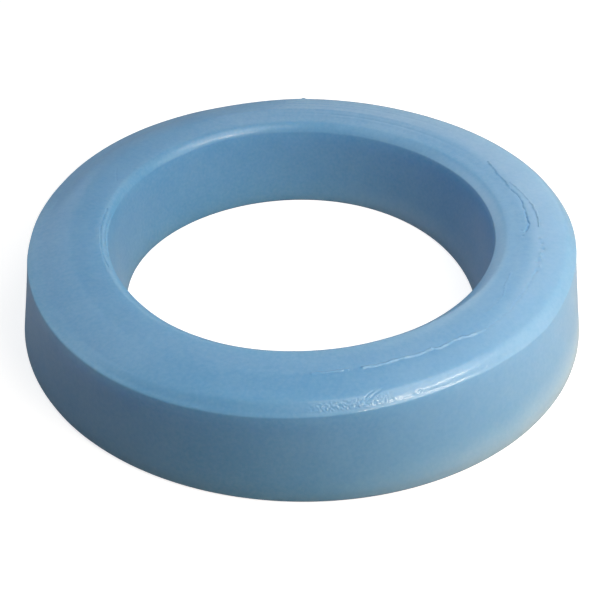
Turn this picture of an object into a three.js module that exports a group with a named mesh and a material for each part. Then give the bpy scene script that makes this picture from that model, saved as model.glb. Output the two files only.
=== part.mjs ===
// Sealing ring for the foot of a floor-standing toilet: one casting in soft, cloudy blue wax.
// It is squeezed between the waste flange in the floor and the outlet horn of the bowl, and
// the horn passes through its bore. Lengths are millimetres and angles are degrees.
// +Z is up, the ring lies on z = 0 on its wide face, and its axis is the Z axis.
//
// The wax is poured into a ring-shaped mould, and this is the way up that it comes out: both
// walls lean towards the narrow top face, so that the casting leaves the mould, and the two
// edges of that face are bevelled where the mould's floor turns up into its walls.
import * as THREE from "three";

// Driving dimensions
const boreDiameter = 84; // the narrowest part of the bore, at the base
const baseWall = 24.7; // the wax from bore to outer wall, across the base
const height = 22.2; // base to top face
const outerDraft = 11.2; // lean of the outer wall from upright
const boreDraft = 7.6; // lean of the bore's wall from upright

// The bevel between the outer wall and the top face
const shoulderWidth = 2.6;
const shoulderDrop = 2.1;

// The bevel between the bore and the top face
const lipWidth = 2.1;
const lipDrop = 2.1;

// Small rounds where two faces of the section meet
const baseOuterRound = 0.9;
const baseBoreRound = 0.6;
const crestRound = 0.45; // outer wall to shoulder bevel
const shoulderRound = 1.4; // shoulder bevel to top face
const lipRound = 0.8; // lip bevel to top face
const lipFootRound = 0.5; // bore to lip bevel

// Facets
const segmentsAround = 128;
const degreesPerArcStep = 15;

// One half of the ring's section as a polygon, in (radius, z), anticlockwise from the base's
// bore corner. Each corner carries the radius that rounds it.
function sectionCorners() {
  const boreRadius = boreDiameter / 2;
  const baseRadius = boreRadius + baseWall;
  const crestZ = height - shoulderDrop;
  const lipFootZ = height - lipDrop;
  const crestRadius = baseRadius - crestZ * Math.tan(THREE.MathUtils.degToRad(outerDraft));
  const lipFootRadius = boreRadius + lipFootZ * Math.tan(THREE.MathUtils.degToRad(boreDraft));
  return [
    { at: new THREE.Vector2(boreRadius, 0), round: baseBoreRound },
    { at: new THREE.Vector2(baseRadius, 0), round: baseOuterRound },
    { at: new THREE.Vector2(crestRadius, crestZ), round: crestRound },
    { at: new THREE.Vector2(crestRadius - shoulderWidth, height), round: shoulderRound },
    { at: new THREE.Vector2(lipFootRadius + lipWidth, height), round: lipRound },
    { at: new THREE.Vector2(lipFootRadius, lipFootZ), round: lipFootRound },
  ];
}

// The arc that rounds one corner between its neighbours. The round is limited to what the
// shorter of the two sides can hold.
function cornerArc(before, corner, after) {
  const toBefore = before.clone().sub(corner.at);
  const toAfter = after.clone().sub(corner.at);
  const shortest = Math.min(toBefore.length(), toAfter.length());
  toBefore.normalize();
  toAfter.normalize();
  const halfAngle = Math.acos(toBefore.dot(toAfter)) / 2;
  const turn = Math.PI - 2 * halfAngle;
  const tangent = Math.min(corner.round / Math.tan(halfAngle), 0.45 * shortest);
  const radius = tangent * Math.tan(halfAngle);
  const inward = toBefore.clone().add(toAfter).normalize();
  const centre = corner.at.clone().addScaledVector(inward, radius / Math.sin(halfAngle));
  const start = corner.at.clone().addScaledVector(toBefore, tangent).sub(centre);
  const steps = Math.max(1, Math.ceil(THREE.MathUtils.radToDeg(turn) / degreesPerArcStep));
  const points = [];
  for (let i = 0; i <= steps; i++) {
    const angle = start.angle() + (turn * i) / steps;
    points.push(new THREE.Vector2(Math.cos(angle), Math.sin(angle)).multiplyScalar(radius).add(centre));
  }
  return points;
}

// The whole outline of the section, with its corners rounded, closed on itself.
function sectionOutline() {
  const corners = sectionCorners();
  const outline = corners.flatMap((corner, i) => {
    const before = corners.at(i - 1).at;
    const after = corners[(i + 1) % corners.length].at;
    return cornerArc(before, corner, after);
  });
  outline.push(outline[0].clone());
  return outline;
}

// The section turned about the ring's axis.
function waxRing() {
  const geometry = new THREE.LatheGeometry(sectionOutline(), segmentsAround);
  geometry.rotateX(Math.PI / 2);
  const wax = new THREE.MeshStandardMaterial({ color: 0x6f9dc6, roughness: 0.42, metalness: 0 });
  const ring = new THREE.Mesh(geometry, wax);
  ring.name = "wax_ring";
  return ring;
}

const gasket = new THREE.Group();
gasket.add(waxRing());

export default gasket;
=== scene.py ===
"""A toilet gasket: one ring of soft, cloudy blue wax, on a pale floor in studio light.

The ring's section comes from the CAD solid in the frame. It is turned again here with a fine
mesh, which then goes slightly out of round, as soft wax does, and takes the marks of its
casting and handling. Lengths are in metres, +Z is up and the ring lies on z = 0.
"""
import math

import bmesh
import bpy
import numpy as np
from mathutils import Matrix, Vector, noise


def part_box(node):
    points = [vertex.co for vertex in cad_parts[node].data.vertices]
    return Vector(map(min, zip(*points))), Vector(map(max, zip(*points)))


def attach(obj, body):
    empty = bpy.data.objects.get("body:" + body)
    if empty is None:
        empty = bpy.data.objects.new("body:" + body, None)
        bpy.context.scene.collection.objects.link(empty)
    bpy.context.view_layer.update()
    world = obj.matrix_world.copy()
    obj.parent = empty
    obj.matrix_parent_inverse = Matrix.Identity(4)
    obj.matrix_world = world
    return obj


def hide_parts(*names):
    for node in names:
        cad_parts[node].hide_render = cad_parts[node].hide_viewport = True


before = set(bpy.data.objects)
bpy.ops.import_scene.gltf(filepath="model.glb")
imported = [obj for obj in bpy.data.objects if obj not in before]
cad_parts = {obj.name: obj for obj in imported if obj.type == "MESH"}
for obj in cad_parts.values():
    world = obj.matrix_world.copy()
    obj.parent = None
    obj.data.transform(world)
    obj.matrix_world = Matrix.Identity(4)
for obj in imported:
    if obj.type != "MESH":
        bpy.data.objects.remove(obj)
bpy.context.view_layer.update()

MM = 0.001
WELD = 1e-5

# The solid that gives the ring its section
WAX_NODE = "wax_ring"
_, FAR_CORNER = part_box(WAX_NODE)
RING_HEIGHT = FAR_CORNER.z
RING_RADIUS = FAR_CORNER.x

# Where the photograph was taken from. The frame is square, so both shifts are shares of one side.
CAMERA_ELEVATION = math.radians(38.7)
CAMERA_DISTANCE = 274 * MM
CAMERA_ROLL = math.radians(-0.62)
SENSOR = 36.0
CAMERA_LENS = 66.9
CAMERA_SHIFT_X = -0.0011
CAMERA_SHIFT_Y = -0.0059
CAMERA_NEAR = 10 * MM
CAMERA_FAR = 20

# Mesh. Close to a mark, each face is cut into a finer grid.
STEPS_AROUND = 640
DOUBLINGS = 6
TOP_STEP = 0.36 * MM
BEVEL_STEP = 0.45 * MM
WALL_STEP = 2.8 * MM
BASE_STEP = 6 * MM
FINE_CUTS = 3
FINE_REACH = 0.58 * MM

# The small rounds at the base carry no marks: the profile that places them, the fine mesh and
# the relief each start at this height.
PROFILE_FROM = 1.2 * MM
FINE_FROM = 1 * MM
RELIEF_FROM = 0.5 * MM

# The wax: its colour where it is clear and where it is cloudy. The cloudy colour is also used
# as painted light, which makes the wax paler and whiter on the right, where the lamps fall.
CLEAR_BLUE = (0.065, 0.272, 0.535, 1)
CLOUDED_AND_PAINTED_LIGHT_BLUE = (0.36, 0.535, 0.73, 1)

# The patterns of its skin. Each scale is a number of swells to the metre.
PATCHES_SCALE = 38
SPECKLE_SCALE = 1200
RUBBED_SCALE = 160
GRAIN_SCALE = 1500
GRAIN_DEPTH = 0.03 * MM
GRAIN_STRENGTH = 0.5

# What clouds the wax, and by what share: patches and speckle everywhere. On the right the same
# clouded colour is painted light: the whole side, the top outside the ripples, the foot of the
# wall and the lip are made paler and whiter where the lamps, the bright floor and the white
# surroundings light them.
PATCHES_SHARE = 0.38
SPECKLE_SHARE = 0.25
RIGHT_PAINTED_LIGHT_SHARE = 0.05
OUTSIDE_PAINTED_LIGHT_SHARE = 0.21
FOOT_PAINTED_LIGHT_SHARE = 0.6
LIP_PAINTED_LIGHT_SHARE = 0.3

# From where, and up to where, each of those places fades in
RIGHT_FADE = (-5 * MM, RING_RADIUS)
OUTSIDE_FADE = (52 * MM, 55 * MM)
FOOT_FADE = (9 * MM, 0)
LIP_FADE = (48.5 * MM, 46.5 * MM)
ON_TOP_FADE = (19 * MM, 20.5 * MM)

# How dull the skin is, from where it is rubbed smooth to where it isn't
ROUGHNESS_RUBBED = 0.42
ROUGHNESS_DULL = 0.56

# The wax's other values, which are the same all over it
WAX_SHADER = {
    "IOR": 1.42,
    "Subsurface Weight": 0.5,
    "Subsurface Radius": (0.25, 0.4, 0.5),
    "Subsurface Scale": 40 * MM,
    "Coat Weight": 0.45,
    "Coat Roughness": 0.15,
}

# The soft lamps: name, direction in degrees from +X towards +Y, degrees above the floor,
# distance, width and height in metres, watts and colour
WARM = (1.06, 1, 0.91)
COOL = (0.86, 1, 1.14)
LAMPS = (
    ("key_softbox", -27, 60, 0.35, (0.25, 0.25), 0.7, (1.05, 1, 0.95)),
    ("strip_softbox", -42, 42, 0.35, (0.24, 0.018), 0.46, (1.25, 1.06, 0.8)),
    ("low_right_softbox", -12, 20, 0.3, (0.2, 0.2), 0.225, WARM),
    ("back_softbox", 74, 30, 0.7, (0.45, 0.45), 0.58, WARM),
    ("left_back_softbox", 132, 36, 0.7, (0.45, 0.45), 0.52, COOL),
    ("left_softbox", 182, 20, 0.7, (0.4, 0.4), 0.56, COOL),
)

# The surroundings and the floor: how bright they look to the camera and in a mirror image
WHITE = (1, 1, 1, 1)
SURROUNDINGS_SEEN = 1.0
SURROUNDINGS_MIRRORED = 0.5
FLOOR_SEEN = 0.82
FLOOR_MIRRORED = 0.1
FLOOR_TONE = (0.48, 0.48, 0.48, 1)
FLOOR_ROUGHNESS = 0.9
FLOOR_RADIUS = 3

# How far the soft ring has gone out of round. Each wave swells a number of times round the
# ring, by so much, with one swell towards a direction in degrees from +X.
OUTER_BASE_WAVES = ((2, 0.53 * MM, -45), (3, 0.39 * MM, -30))
OUTER_TOP_WAVES = ((1, 0.56 * MM, 90), (2, 0.79 * MM, 13.6), (3, 0.98 * MM, 9.7))
BORE_BASE_WAVES = ((1, 0.77 * MM, 35.5), (2, 1.59 * MM, -38.5), (3, 0.75 * MM, 60))
BORE_TOP_WAVES = ((1, 1.46 * MM, 90), (2, 0.48 * MM, 0), (3, 0.34 * MM, 0))

# The top face is slightly crowned: its two edges lie this much below its middle, and it falls
# with this power of the distance from there.
CROWN = 0.42 * MM
CROWN_POWER = 1.4

# The shoulder isn't the same all round. Each pair is a direction in degrees from +X and a value
# in mm, which in EVEN_FALL is a share. The crest, where the outer wall meets the bevel, lies
# higher or lower than in the solid, and towards the left the top falls evenly from FALL_FROM
# to the crest and no bevel is left.
CREST_RADIUS = 62.7 * MM
CREST_HEIGHT = 20.1 * MM
BEVEL_INNER = 60.1 * MM
BEVELS_FROM = CREST_HEIGHT - 0.2 * MM
FALL_FROM = 52 * MM
CREST_LIFT = (
    (-180, 0.9), (-170, 1.1), (-130, 1.1), (-116, 0.6), (-105, 0.15), (-90, 0), (-60, -0.3), (-45, -0.9),
    (-34, -1.6), (-24, -1.0), (-10, -0.3), (20, 0), (160, 0), (170, 0.4), (180, 0.9),
)
EVEN_FALL = ((-180, 1), (-135, 1), (-104, 0), (90, 0), (120, 1), (180, 1))

# A crest that is higher goes outwards too, by so much of its lift, where it faces the camera.
# One that is lower follows the wall's lean.
LIFT_OUTWARD = 1.25
WALL_LEAN = 0.2

# The bevel bulges by this much, outwards and up in these shares.
SWELL_OUT = 0.63
SWELL_UP = 0.78
BEVEL_SWELL = ((-180, 0), (-104, 0.04), (-84, 0.1), (-72, 0.26), (90, 0.26), (120, 0), (180, 0))

# The lip's bevel is wider and less steep on the right, its foot is higher in places, and it
# bulges like the shoulder's, inwards and up alike.
LIP_FOOT = 44.7 * MM
LIP_INNER = 46.8 * MM
LIP_END = 50 * MM
LIP_WIDENS = ((-70, 0), (-20, 0.8), (25, 0.8), (60, 0.2), (90, 0))
LIP_RISES = (
    (-180, 0.7), (-163, 1.1), (-148, 0.8), (-130, 0.3), (-105, 0), (-70, 0), (-30, 0.5), (-10, 0.8), (25, 0.8),
    (60, 0.3), (90, 0), (150, 0), (180, 0.7),
)
LIP_SWELL_SHARE = 0.7
LIP_SWELL = ((-180, 0.24), (-90, 0.24), (-30, 0.08), (40, 0.08), (80, 0.3), (150, 0.34), (180, 0.24))

# The skin is nowhere quite even: it swells and sinks by this much over this distance.
UNEVEN_HEIGHT = 0.05 * MM
UNEVEN_LENGTH = 11 * MM

# Rings that run round the top: the distance from the axis, the height (below zero it is a
# groove), half the width, and the two directions between which the ring can be seen. It fades
# out over RINGS_FADE degrees, and only what lies at most RINGS_DEPTH below the top has any.
RINGS_FADE = 25
RINGS_DEPTH = 4 * MM
TOP_RINGS = (
    (49.2, -0.045, 1.2, -60, 130),
    (51.0, -0.07, 0.3, 25, 100),
    (53.4, 0.07, 0.35, 40, 125),
    (55.0, -0.055, 0.25, 60, 135),
    (56.6, -0.06, 0.3, 30, 125),
    (58.0, -0.07, 0.3, 45, 140),
    (59.3, -0.06, 0.25, 70, 165),
    (57.3, 0.06, 0.25, 80, 165),
    (60.0, -0.04, 0.25, -150, -60),
    (62.6, 0.12, 0.3, -179, 20),
    (62.5, 0.16, 0.28, -179, -85),
)

# Marks: a path over the skin, as places in degrees from +X and mm from the axis, then the
# height in mm (below zero it is a groove) and half the width in mm. Above its base the skin has
# one height at each distance from the axis, so these two numbers are a place.
RIPPLES = (
    # where the wax wrinkled as it set, on the right: an inner ripple and an outer one
    (((28.4, 52.7), (22.3, 51.7), (19.1, 51.7), (14.6, 51.5)), 0.33, 0.23),
    (
        ((14.6, 51.5), (9.6, 52.3), (5.5, 52.0), (1.9, 51.8), (-1.6, 52.3), (-3.8, 51.7), (-5.6, 50.8)),
        -0.33, 0.22,
    ),
    (((17.2, 52.6), (11.1, 53.5), (7.4, 54.1)), 0.22, 0.22),
    (((7.4, 54.1), (3.5, 54.35), (0.1, 54.5), (-2.9, 54.4)), 0.36, 0.22),
    # the wavy line that the outer ripple becomes, first a groove and then a low ridge at the front
    (((-21, 55.2), (-26, 55.3), (-31, 55.5), (-36, 55.7), (-41, 55.9), (-45.8, 55.8)), -0.08, 0.24),
    (((-45.8, 55.8), (-49.2, 55.4), (-51.8, 54.7), (-53.7, 54.3), (-57.8, 54.7), (-59.7, 54.0)), 0.22, 0.3),
    (((-59.7, 54.0), (-62.7, 54.2), (-67.7, 53.7), (-70.0, 53.8), (-73.6, 53.9), (-76.5, 53.7)), 0.25, 0.3),
    (((-79.7, 53.5), (-82.8, 53.5), (-87.6, 53.5)), 0.19, 0.28),
    # a thin arc inside it
    (((-23.5, 50.4), (-28.7, 51.0), (-33.0, 52.4), (-38.6, 52.6), (-41.1, 52.6)), 0.08, 0.22),
    # two scratches across the shoulder's bevel, and one across the top at the back left
    (((-78.4, 61.5), (-76.6, 60.75), (-74.5, 59.9)), -0.13, 0.16),
    (((-79.4, 61.3), (-77.5, 60.5), (-76.2, 60.0)), -0.11, 0.14),
    (((151.9, 51.0), (157.0, 48.3)), -0.05, 0.2),
    # two creases along the lip at the left
    (((171, 46.3), (-178, 46.4), (-168, 46.3), (-160, 46.0)), -0.22, 0.24),
    (((172, 45.1), (-176, 45.1), (-165, 45.1)), -0.2, 0.22),
    # a scraped tee on the wall at the left, and a nick over the base at the front
    (((-126.8, 63.75), (-123.5, 63.3), (-120.1, 63.15)), 0.11, 0.18),
    (((-120.1, 63.15), (-120.3, 63.8)), 0.11, 0.18),
    (((-74.3, 66.4), (-72.0, 66.42), (-69.8, 66.37)), 0.09, 0.25),
)

# How many points each stretch of a path gets, and how far from it a mark can still be felt
POINTS_PER_STRETCH = 8
MARK_MARGIN = 2 * MM

# Which of its patterns the noise that makes the marks wander takes
WANDER_SEED = 5

# How far the marks wander to either side and by what share their height varies, and over
# what lengths
WIGGLE = 0.22 * MM
WIGGLE_LENGTH = 1.1 * MM
MARK_UNEVEN = 0.6
MARK_UNEVEN_LENGTH = 1.5 * MM

# Small dents and beads, each in one place: degrees, mm from the axis, height and half the width.
BEADS = (
    (-7.8, 54.5, 0.19, 0.4), (-9.6, 54.9, -0.19, 0.4), (-11.7, 55.2, -0.32, 0.5), (-13.6, 55, 0.35, 0.5),
    (-15, 55.3, 0.22, 0.4), (-16.6, 54.9, -0.35, 0.55), (-18.6, 55.6, 0.19, 0.4), (-20.5, 55.3, -0.24, 0.45),
    (-4.6, 50.4, -0.12, 0.3), (-7, 50.7, -0.08, 0.3), (-67.4, 61.7, -0.10, 0.3), (-68.6, 61.9, 0.06, 0.2),
    (-84.3, 61.3, 0.09, 0.22), (-83.2, 61.4, -0.06, 0.2), (-51.9, 62.2, 0.06, 0.25), (-108.9, 62.3, 0.05, 0.25),
    (-53.9, 63.4, 0.05, 0.2), (-94.2, 63.3, 0.05, 0.2), (-68.1, 47.6, -0.04, 0.3), (88.7, 60.8, 0.22, 0.5),
)

# Grainy stretches of a bevel: from and to in degrees, from and to in mm, height and length of
# the grain. They fade out over so many degrees along the bevel and so far across it.
GRAINY_FADE_ALONG = 4
GRAINY_FADE_ACROSS = 0.6 * MM
GRAINY = (
    (-90, -71, 60.4, 62.3, 0.1, 0.36),
    (-76, -44, 60.9, 62.6, 0.02, 0.5),
    (96, 126, 44.9, 46.9, 0.03, 0.5),
)


def wave(waves, angle):
    """The sum of the waves at each angle round the ring."""
    return sum(size * np.cos(swells * (angle - math.radians(towards))) for swells, size, towards in waves)


def section_outline(node):
    """The solid's outline where it crosses the half-plane through +X, as wire edges."""
    outline = bmesh.new()
    outline.from_mesh(node.data)
    bmesh.ops.remove_doubles(outline, verts=outline.verts, dist=WELD)
    elsewhere = [v for v in outline.verts if abs(v.co.y) > WELD or v.co.x < 0]
    bmesh.ops.delete(outline, geom=elsewhere, context="VERTS")
    return outline


def outline_step(edge):
    """The length of mesh edge that a stretch of the section needs."""
    middle = (edge.verts[0].co + edge.verts[1].co) / 2
    along = edge.verts[0].co - edge.verts[1].co
    if middle.z < WELD:
        return BASE_STEP
    if middle.z > RING_HEIGHT - WELD:
        return TOP_STEP
    if abs(along.z) > 2 * abs(along.x):
        return WALL_STEP
    return BEVEL_STEP


def ring_shape():
    """The section, divided finely and turned once round the ring's axis: a short slice is spun,
    then doubled until it closes."""
    shape = section_outline(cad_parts[WAX_NODE])
    for edge in list(shape.edges):
        cuts = math.ceil(edge.calc_length() / outline_step(edge)) - 1
        if cuts > 0:
            bmesh.ops.subdivide_edges(shape, edges=[edge], cuts=cuts)
    slice_turn = math.tau / 2**DOUBLINGS
    bmesh.ops.spin(
        shape, geom=shape.verts[:] + shape.edges[:], cent=(0, 0, 0), axis=(0, 0, 1), dvec=(0, 0, 0),
        angle=slice_turn, steps=STEPS_AROUND // 2**DOUBLINGS, use_merge=False, use_duplicate=False,
    )
    for doubling in range(DOUBLINGS):
        turn = Matrix.Rotation(slice_turn * 2**doubling, 3, "Z")
        copy = bmesh.ops.duplicate(shape, geom=shape.verts[:] + shape.edges[:] + shape.faces[:])
        copied = [part for part in copy["geom"] if isinstance(part, bmesh.types.BMVert)]
        bmesh.ops.rotate(shape, verts=copied, cent=(0, 0, 0), matrix=turn)
    bmesh.ops.remove_doubles(shape, verts=shape.verts, dist=WELD)
    bmesh.ops.recalc_face_normals(shape, faces=shape.faces)
    return shape


def skin_profile(shape):
    """Distance from the axis and height along the skin, from the bore's wall to the outer one."""
    along = [(v.co.x, v.co.z) for v in shape.verts if abs(v.co.y) < WELD < v.co.x and v.co.z > PROFILE_FROM]
    return np.array(sorted(along)).T


def on_skin(places, profile):
    """Places in degrees and mm as points on the even skin, with more of them in between."""
    degrees, reach = np.array(places, float).T
    degrees = np.degrees(np.unwrap(np.radians(degrees)))
    stops = np.arange(len(degrees))
    finer = np.linspace(0, stops[-1], POINTS_PER_STRETCH * stops[-1] + 1)
    angle = np.radians(np.interp(finer, stops, degrees))
    radius = np.interp(finer, stops, reach) * MM
    return np.stack([radius * np.cos(angle), radius * np.sin(angle), np.interp(radius, *profile)], axis=1)


def distance_to(path, points):
    """How far each point is from a path of straight stretches."""
    nearest = np.linalg.norm(points - path[0], axis=1)
    for start, end in zip(path[:-1], path[1:]):
        along = end - start
        share = np.clip((points - start) @ along / (along @ along), 0, 1)
        nearest = np.minimum(nearest, np.linalg.norm(points - start - share[:, None] * along, axis=1))
    return nearest


def turned(points):
    """The distance from the axis and the direction in degrees of each point."""
    return np.hypot(points[:, 0], points[:, 1]), np.degrees(np.arctan2(points[:, 1], points[:, 0]))


def between(values, low, high, fade):
    """One between two values and nought outside them, with a soft change over the fade."""
    inside = np.minimum(values - low, high - values) / fade
    return np.clip(inside, 0, 1) ** 2 * (3 - 2 * np.clip(inside, 0, 1))


def grain(points, length):
    """Soft noise at each point, with swells about as long as given."""
    return np.array([noise.noise(Vector(point / length)) for point in points])


def shaken(points):
    """The points, each moved a little sideways, so that a mark drawn by them isn't straight."""
    return points + WIGGLE * np.array([noise.noise_vector(Vector(point / WIGGLE_LENGTH)) for point in points])


def marks(profile):
    """Every mark as a path of points, with its height and half width in metres."""
    for places, height, width in RIPPLES:
        yield on_skin(places, profile), height * MM, width * MM
    for degrees, reach, height, width in BEADS:
        yield on_skin(((degrees, reach),), profile), height * MM, width * MM


def near(path, points):
    """Which points lie in the box round a path, with a margin."""
    low, high = path.min(0) - MARK_MARGIN, path.max(0) + MARK_MARGIN
    return ((points > low) & (points < high)).all(1)


def in_stretch(stretch, radius, degrees):
    """Which places lie in a grainy stretch."""
    start, end, inner, outer = stretch[:4]
    return (degrees > start) & (degrees < end) & (radius > inner * MM) & (radius < outer * MM)


def fine_places(points, profile):
    """Which points lie close to a mark or in a grainy stretch."""
    radius, degrees = turned(points)
    fine = np.zeros(len(points), bool)
    skin = points[:, 2] > FINE_FROM
    for path, _, _ in marks(profile):
        close = skin & near(path, points)
        fine[close] |= distance_to(path, points[close]) < FINE_REACH
    for stretch in GRAINY:
        fine |= skin & in_stretch(stretch, radius, degrees)
    return fine


def relief(points, profile):
    """How far the marks and the unevenness lift each point of the even skin."""
    radius, degrees = turned(points)
    skin = points[:, 2] > RELIEF_FROM
    top = points[:, 2] > RING_HEIGHT - RINGS_DEPTH
    lift = np.zeros(len(points))
    lift[skin] = UNEVEN_HEIGHT * grain(points[skin], UNEVEN_LENGTH)
    for reach, height, width, start, end in TOP_RINGS:
        across = np.exp(-(((radius - reach * MM) / (width * MM)) ** 2))
        lift += top * height * MM * across * between(degrees, start, end, RINGS_FADE)
    for path, height, width in marks(profile):
        close = skin & near(path, points)
        uneven = 1 + MARK_UNEVEN * grain(points[close], MARK_UNEVEN_LENGTH)
        lift[close] += height * uneven * np.exp(-((distance_to(path, shaken(points[close])) / width) ** 2))
    for stretch in GRAINY:
        start, end, inner, outer, height, length = stretch
        here = skin & in_stretch(stretch, radius, degrees)
        soft = between(degrees[here], start, end, GRAINY_FADE_ALONG)
        soft = soft * between(radius[here], inner * MM, outer * MM, GRAINY_FADE_ACROSS)
        lift[here] += height * MM * soft * grain(points[here], length * MM)
    return lift


def by_direction(pairs, degrees):
    """The value in each direction, from pairs of a direction and a value."""
    return np.interp(degrees, *zip(*pairs))


def bulge(radius, inner, outer):
    """One halfway between two distances from the axis and nought at both and beyond."""
    across = 2 * (radius - inner) / (outer - inner) - 1
    return np.clip(1 - across**2, 0, 1)


def shoulder_and_lip(points):
    """Moves the crest and the bevels as they differ from one direction to another."""
    radius, degrees = turned(points)
    height = points[:, 2].copy()
    up_wall = np.minimum(height / CREST_HEIGHT, 1)
    bevels = height > BEVELS_FROM
    past = np.clip((radius - FALL_FROM) / (CREST_RADIUS - FALL_FROM), 0, 1)
    on_top = bevels & (radius < CREST_RADIUS)
    even_top = RING_HEIGHT - (RING_HEIGHT - CREST_HEIGHT) * past**2
    fall = on_top * by_direction(EVEN_FALL, degrees) * np.minimum(even_top - height, 0)
    lift = by_direction(CREST_LIFT, degrees) * MM * up_wall * past**2
    swell = on_top * by_direction(BEVEL_SWELL, degrees) * MM * bulge(radius, BEVEL_INNER, CREST_RADIUS)
    lip_swell = bevels * by_direction(LIP_SWELL, degrees) * MM * bulge(radius, LIP_FOOT, LIP_INNER)
    lip_swell = LIP_SWELL_SHARE * lip_swell
    rise = np.interp(radius, (LIP_FOOT, LIP_INNER), (1, 0)) * up_wall**2
    rise = rise * by_direction(LIP_RISES, degrees) * MM
    widened = np.interp(radius, (LIP_FOOT, LIP_INNER, LIP_END), (0, 1, 0)) * (height > CREST_HEIGHT)
    widened = widened * by_direction(LIP_WIDENS, degrees) * MM
    towards_camera = np.maximum(0, -np.sin(np.radians(degrees)))
    leaned = np.where(lift > 0, LIFT_OUTWARD * lift * towards_camera, -WALL_LEAN * lift)
    height = height + fall + lift + rise + SWELL_UP * swell + lip_swell
    radius = radius + SWELL_OUT * swell - lip_swell + widened + leaned
    turn = np.radians(degrees)
    return np.stack([radius * np.cos(turn), radius * np.sin(turn), height], axis=1)


def out_of_round(points):
    """Moves each wall in and out by its waves, and what lies between them by a share of both."""
    radius = np.hypot(points[:, 0], points[:, 1])
    angle = np.arctan2(points[:, 1], points[:, 0])
    base = radius[points[:, 2] < WELD]
    up = points[:, 2] / RING_HEIGHT
    out = np.clip((radius - base.min()) / (base.max() - base.min()), 0, 1)
    at_bore = (1 - up) * wave(BORE_BASE_WAVES, angle) + up * wave(BORE_TOP_WAVES, angle)
    at_outer = (1 - up) * wave(OUTER_BASE_WAVES, angle) + up * wave(OUTER_TOP_WAVES, angle)
    top = radius[points[:, 2] > RING_HEIGHT - WELD]
    from_middle = (2 * radius - top.min() - top.max()) / (top.max() - top.min())
    moved = shoulder_and_lip(points)
    height = moved[:, 2] - up * CROWN * np.minimum(np.abs(from_middle) ** CROWN_POWER, 1)
    radius = np.hypot(moved[:, 0], moved[:, 1]) + (1 - out) * at_bore + out * at_outer
    return np.stack([radius * np.cos(angle), radius * np.sin(angle), height], axis=1)


def read_points(mesh):
    """The mesh's points, one row each."""
    flat = np.empty(3 * len(mesh.vertices), np.float32)
    mesh.vertices.foreach_get("co", flat)
    return flat.reshape(-1, 3).astype(float)


def set_points(mesh, points):
    """Moves the mesh's points."""
    mesh.vertices.foreach_set("co", points.ravel())
    mesh.update()


def refine(shape, profile):
    """Cuts the faces close to the marks into finer ones."""
    shape.faces.ensure_lookup_table()
    shape.edges.index_update()
    centres = np.array([face.calc_center_median() for face in shape.faces])
    fine = np.flatnonzero(fine_places(centres, profile))
    edges = {edge for index in fine for edge in shape.faces[index].edges}
    in_order = sorted(edges, key=lambda edge: edge.index)
    bmesh.ops.subdivide_edges(shape, edges=in_order, cuts=FINE_CUTS, use_grid_fill=True)


def wax_ring():
    """The gasket itself."""
    shape = ring_shape()
    profile = skin_profile(shape)
    refine(shape, profile)
    mesh = bpy.data.meshes.new("soft_wax_ring")
    shape.to_mesh(mesh)
    shape.free()
    even = read_points(mesh)
    set_points(mesh, out_of_round(even))
    outward = np.array([normal.vector for normal in mesh.vertex_normals])
    set_points(mesh, read_points(mesh) + outward * relief(even, profile)[:, None])
    mesh.shade_smooth()
    mesh.materials.append(cloudy_wax())
    ring = bpy.data.objects.new("soft_wax_ring", mesh)
    bpy.context.scene.collection.objects.link(ring)
    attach(ring, "root")
    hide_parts(WAX_NODE)


def fading(nodes, links, value, start, end):
    """Nought at the start value and one at the end, with a soft change."""
    fade = nodes.new("ShaderNodeMapRange")
    fade.interpolation_type = "SMOOTHSTEP"
    fade.inputs["From Min"].default_value = start
    fade.inputs["From Max"].default_value = end
    links.new(value, fade.inputs["Value"])
    return fade.outputs["Result"]


def times(nodes, links, first, second):
    """The product of two values."""
    product = nodes.new("ShaderNodeMath")
    product.operation = "MULTIPLY"
    links.new(first, product.inputs[0])
    links.new(second, product.inputs[1])
    return product.outputs[0]


def soft_noise(nodes, links, place, scale, detail, roughness=0.5):
    """A soft pattern over the skin, from nought to one."""
    pattern = nodes.new("ShaderNodeTexNoise")
    pattern.inputs["Scale"].default_value = scale
    pattern.inputs["Detail"].default_value = detail
    pattern.inputs["Roughness"].default_value = roughness
    links.new(place, pattern.inputs["Vector"])
    return pattern.outputs["Fac"]


def sum_of_shares(nodes, links, parts, start):
    """The start value and the parts, each of them a value and its share."""
    total = None
    for source, share in parts:
        step = nodes.new("ShaderNodeMath")
        step.operation = "MULTIPLY_ADD"
        step.inputs[1].default_value = share
        step.inputs[2].default_value = start
        links.new(source, step.inputs[0])
        if total is not None:
            links.new(total, step.inputs[2])
        total = step.outputs[0]
    return total


def from_axis(nodes, links, place):
    """The distance from the ring's axis."""
    flat = nodes.new("ShaderNodeVectorMath")
    flat.operation = "MULTIPLY"
    flat.inputs[1].default_value = (1, 1, 0)
    links.new(place, flat.inputs[0])
    reach = nodes.new("ShaderNodeVectorMath")
    reach.operation = "LENGTH"
    links.new(flat.outputs["Vector"], reach.inputs[0])
    return reach.outputs["Value"]


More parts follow.
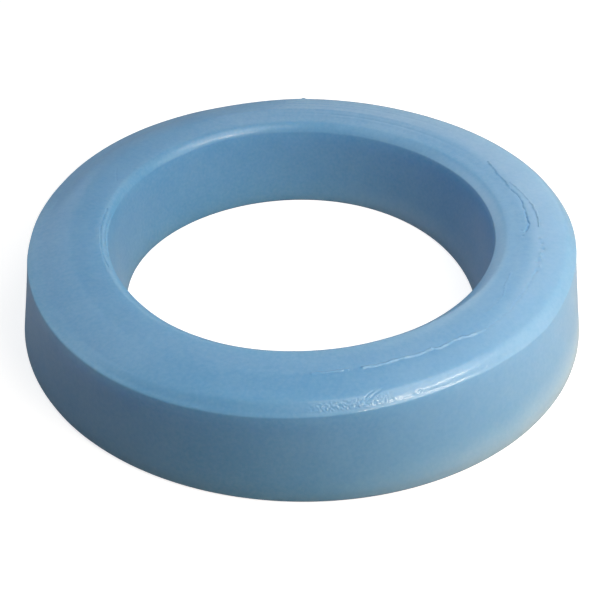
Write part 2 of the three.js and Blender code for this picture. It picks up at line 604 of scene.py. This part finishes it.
def cloudiness_and_painted_light(nodes, links, place):
    """How cloudy the wax is, from nought to one, in soft patches and fine speckle; and painted light:
    the same colour laid on the right, most of all outside the ripples, on the lip and at the foot
    of the wall, to make the wax paler and whiter where the lamps fall."""
    patches = soft_noise(nodes, links, place, PATCHES_SCALE, detail=8, roughness=0.75)
    speckle = soft_noise(nodes, links, place, SPECKLE_SCALE, detail=3)
    apart = nodes.new("ShaderNodeSeparateXYZ")
    links.new(place, apart.inputs[0])
    height = apart.outputs["Z"]
    reach = from_axis(nodes, links, place)
    # painted light: the right side, its foot, the top outside the ripples and the lip are made paler
    right = fading(nodes, links, apart.outputs["X"], *RIGHT_FADE)
    foot = times(nodes, links, right, fading(nodes, links, height, *FOOT_FADE))
    outside = times(nodes, links, right, fading(nodes, links, reach, *OUTSIDE_FADE))
    right_top = times(nodes, links, right, fading(nodes, links, height, *ON_TOP_FADE))
    lip = times(nodes, links, right_top, fading(nodes, links, reach, *LIP_FADE))
    parts = (
        (speckle, SPECKLE_SHARE), (patches, PATCHES_SHARE), (right, RIGHT_PAINTED_LIGHT_SHARE),
        (outside, OUTSIDE_PAINTED_LIGHT_SHARE), (foot, FOOT_PAINTED_LIGHT_SHARE), (lip, LIP_PAINTED_LIGHT_SHARE),
    )
    return sum_of_shares(nodes, links, parts, start=-SPECKLE_SHARE / 2)


def cloudy_wax():
    """Cloudy petroleum wax with a soft gloss: light goes in and comes out again a little way off.
    Its colour also holds painted light, paler and whiter on the right where the lamps fall.
    """
    wax = bpy.data.materials.new("cloudy_blue_wax")
    wax.use_nodes = True
    nodes, links = wax.node_tree.nodes, wax.node_tree.links
    shader = nodes["Principled BSDF"]
    place = nodes.new("ShaderNodeTexCoord").outputs["Object"]
    tone = nodes.new("ShaderNodeMix")
    tone.data_type = "RGBA"
    clear, clouded_and_lit = [socket for socket in tone.inputs if socket.type == "RGBA"]
    clear.default_value = CLEAR_BLUE
    clouded_and_lit.default_value = CLOUDED_AND_PAINTED_LIGHT_BLUE
    links.new(cloudiness_and_painted_light(nodes, links, place), tone.inputs[0])
    links.new([socket for socket in tone.outputs if socket.type == "RGBA"][0], shader.inputs["Base Color"])
    rough = nodes.new("ShaderNodeMapRange")
    rough.inputs["To Min"].default_value = ROUGHNESS_RUBBED
    rough.inputs["To Max"].default_value = ROUGHNESS_DULL
    links.new(soft_noise(nodes, links, place, RUBBED_SCALE, detail=4), rough.inputs["Value"])
    links.new(rough.outputs[0], shader.inputs["Roughness"])
    bump = nodes.new("ShaderNodeBump")
    bump.inputs["Strength"].default_value = GRAIN_STRENGTH
    bump.inputs["Distance"].default_value = GRAIN_DEPTH
    links.new(soft_noise(nodes, links, place, GRAIN_SCALE, detail=5), bump.inputs["Height"])
    links.new(bump.outputs["Normal"], shader.inputs["Normal"])
    for socket, value in WAX_SHADER.items():
        shader.inputs[socket].default_value = value
    return wax


def camera():
    """The camera at the photograph's place, looking at the middle of the ring's base."""
    data = bpy.data.cameras.new("camera")
    data.sensor_width = SENSOR
    data.lens = CAMERA_LENS
    data.shift_x = CAMERA_SHIFT_X
    data.shift_y = CAMERA_SHIFT_Y
    data.clip_start = CAMERA_NEAR
    data.clip_end = CAMERA_FAR
    eye = bpy.data.objects.new("camera", data)
    back = Vector((0, -math.cos(CAMERA_ELEVATION), math.sin(CAMERA_ELEVATION)))
    eye.location = back * CAMERA_DISTANCE
    tilt = Matrix.Rotation(math.pi / 2 - CAMERA_ELEVATION, 3, "X")
    eye.rotation_euler = (tilt @ Matrix.Rotation(CAMERA_ROLL, 3, "Z")).to_euler()
    bpy.context.scene.collection.objects.link(eye)
    bpy.context.scene.camera = eye


def soft_light(name, azimuth, elevation, distance, size, power, colour):
    """A soft lamp, so wide and so high, that faces the ring."""
    data = bpy.data.lights.new(name, "AREA")
    data.shape = "RECTANGLE"
    data.size, data.size_y = size
    data.energy = power
    data.color = colour
    lamp = bpy.data.objects.new(name, data)
    turn, rise = math.radians(azimuth), math.radians(elevation)
    away = Vector((math.cos(rise) * math.cos(turn), math.cos(rise) * math.sin(turn), math.sin(rise)))
    lamp.location = away * distance
    lamp.rotation_euler = away.to_track_quat("Z", "Y").to_euler()
    bpy.context.scene.collection.objects.link(lamp)


def light_for_rays(nodes, links, seen, mirrored):
    """How strong a background is for rays from the camera, and for mirrored ones or ones through
    glass. It is nought for the rest, which would light the ring."""
    ray = nodes.new("ShaderNodeLightPath")
    either = nodes.new("ShaderNodeMath")
    either.operation = "MAXIMUM"
    links.new(ray.outputs["Is Glossy Ray"], either.inputs[0])
    links.new(ray.outputs["Is Transmission Ray"], either.inputs[1])
    strength = None
    for chosen, value in ((either.outputs[0], mirrored), (ray.outputs["Is Camera Ray"], seen)):
        choice = nodes.new("ShaderNodeMix")
        choice.inputs["A"].default_value = 0
        choice.inputs["B"].default_value = value
        links.new(chosen, choice.inputs["Factor"])
        if strength is not None:
            links.new(strength, choice.inputs["A"])
        strength = choice.outputs["Result"]
    return strength


def lights():
    """The soft lamps, and surroundings that are white to the camera and don't light the ring."""
    for lamp in LAMPS:
        soft_light(*lamp)
    world = bpy.data.worlds.new("surroundings")
    world.use_nodes = True
    nodes, links = world.node_tree.nodes, world.node_tree.links
    nodes["Background"].inputs["Color"].default_value = WHITE
    strength = light_for_rays(nodes, links, SURROUNDINGS_SEEN, SURROUNDINGS_MIRRORED)
    links.new(strength, nodes["Background"].inputs["Strength"])
    bpy.context.scene.world = world


def floor():
    """A pale floor that is white to the camera and keeps the ring's shadow."""
    shape = bmesh.new()
    bmesh.ops.create_circle(shape, cap_ends=True, segments=96, radius=FLOOR_RADIUS)
    mesh = bpy.data.meshes.new("floor")
    shape.to_mesh(mesh)
    shape.free()
    material = bpy.data.materials.new("pale_floor")
    material.use_nodes = True
    nodes, links = material.node_tree.nodes, material.node_tree.links
    shader = nodes["Principled BSDF"]
    shader.inputs["Base Color"].default_value = FLOOR_TONE
    shader.inputs["Roughness"].default_value = FLOOR_ROUGHNESS
    shader.inputs["Specular IOR Level"].default_value = 0
    shader.inputs["Emission Color"].default_value = WHITE
    lift = light_for_rays(nodes, links, FLOOR_SEEN, FLOOR_MIRRORED)
    links.new(lift, shader.inputs["Emission Strength"])
    mesh.materials.append(material)
    ground = bpy.data.objects.new("floor", mesh)
    bpy.context.scene.collection.objects.link(ground)


noise.seed_set(WANDER_SEED)
bpy.context.scene.view_settings.view_transform = "Standard"
camera()
lights()
floor()
wax_ring()
